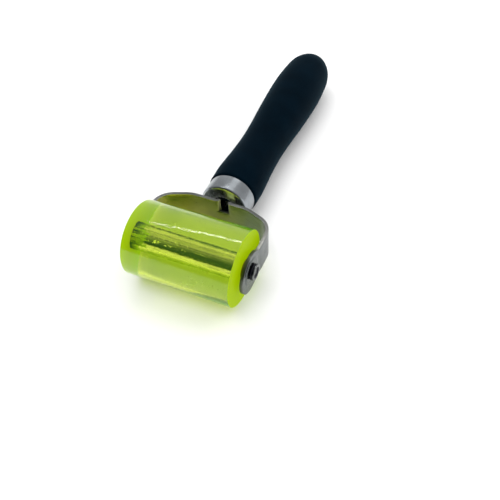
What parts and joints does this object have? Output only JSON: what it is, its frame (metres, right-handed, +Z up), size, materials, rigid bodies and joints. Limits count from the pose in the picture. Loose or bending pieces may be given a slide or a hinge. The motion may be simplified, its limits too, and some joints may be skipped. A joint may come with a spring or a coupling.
{
  "type": "hand brayer",
  "caption": "Hand brayer: a clear lime polyurethane roller on an axle in a stamped steel fork, with a ferrule and a moulded black handle.",
  "frame": {"origin": "on the surface that the tool lies on, under the middle of its bounding box", "axes": "+Y runs back along the handle from the roller, +X is along the roller's axle, to the right seen from behind the handle, +Z is up"},
  "size_m": [0.062, 0.19, 0.035],
  "materials": {
    "polyurethane": "clear, polished on the rolling face, matt on the end faces",
    "fork_steel": "plated stamped sheet, satin with bright edges",
    "axle_steel": "turned and polished",
    "nickel": "nickel plated, satin side and bright end",
    "bronze": "sintered, dull",
    "nylon": "black, slightly glossy",
    "moulding": "blue-black satin moulding"
  },
  "bodies": {
    "frame": {"fork": "fork_steel", "axle": "axle_steel", "washer_right": "axle_steel", "washer_left": "axle_steel", "lock_washer_right": "nylon", "lock_washer_left": "nylon", "axle_nut_right": "axle_steel", "axle_nut_left": "axle_steel", "tang": "axle_steel", "ferrule": "nickel", "handle": "moulding"},
    "roller": {"roller_cover": "polyurethane", "roller_core": "axle_steel", "bush_right": "bronze", "bush_left": "bronze"}
  },
  "joints": [
    {"name": "roller_spin", "type": "hinge", "parent": "frame", "child": "roller", "pos_m": [0, -0.0775, 0.0175], "axis": [1, 0, 0], "continuous": true}
  ]
}
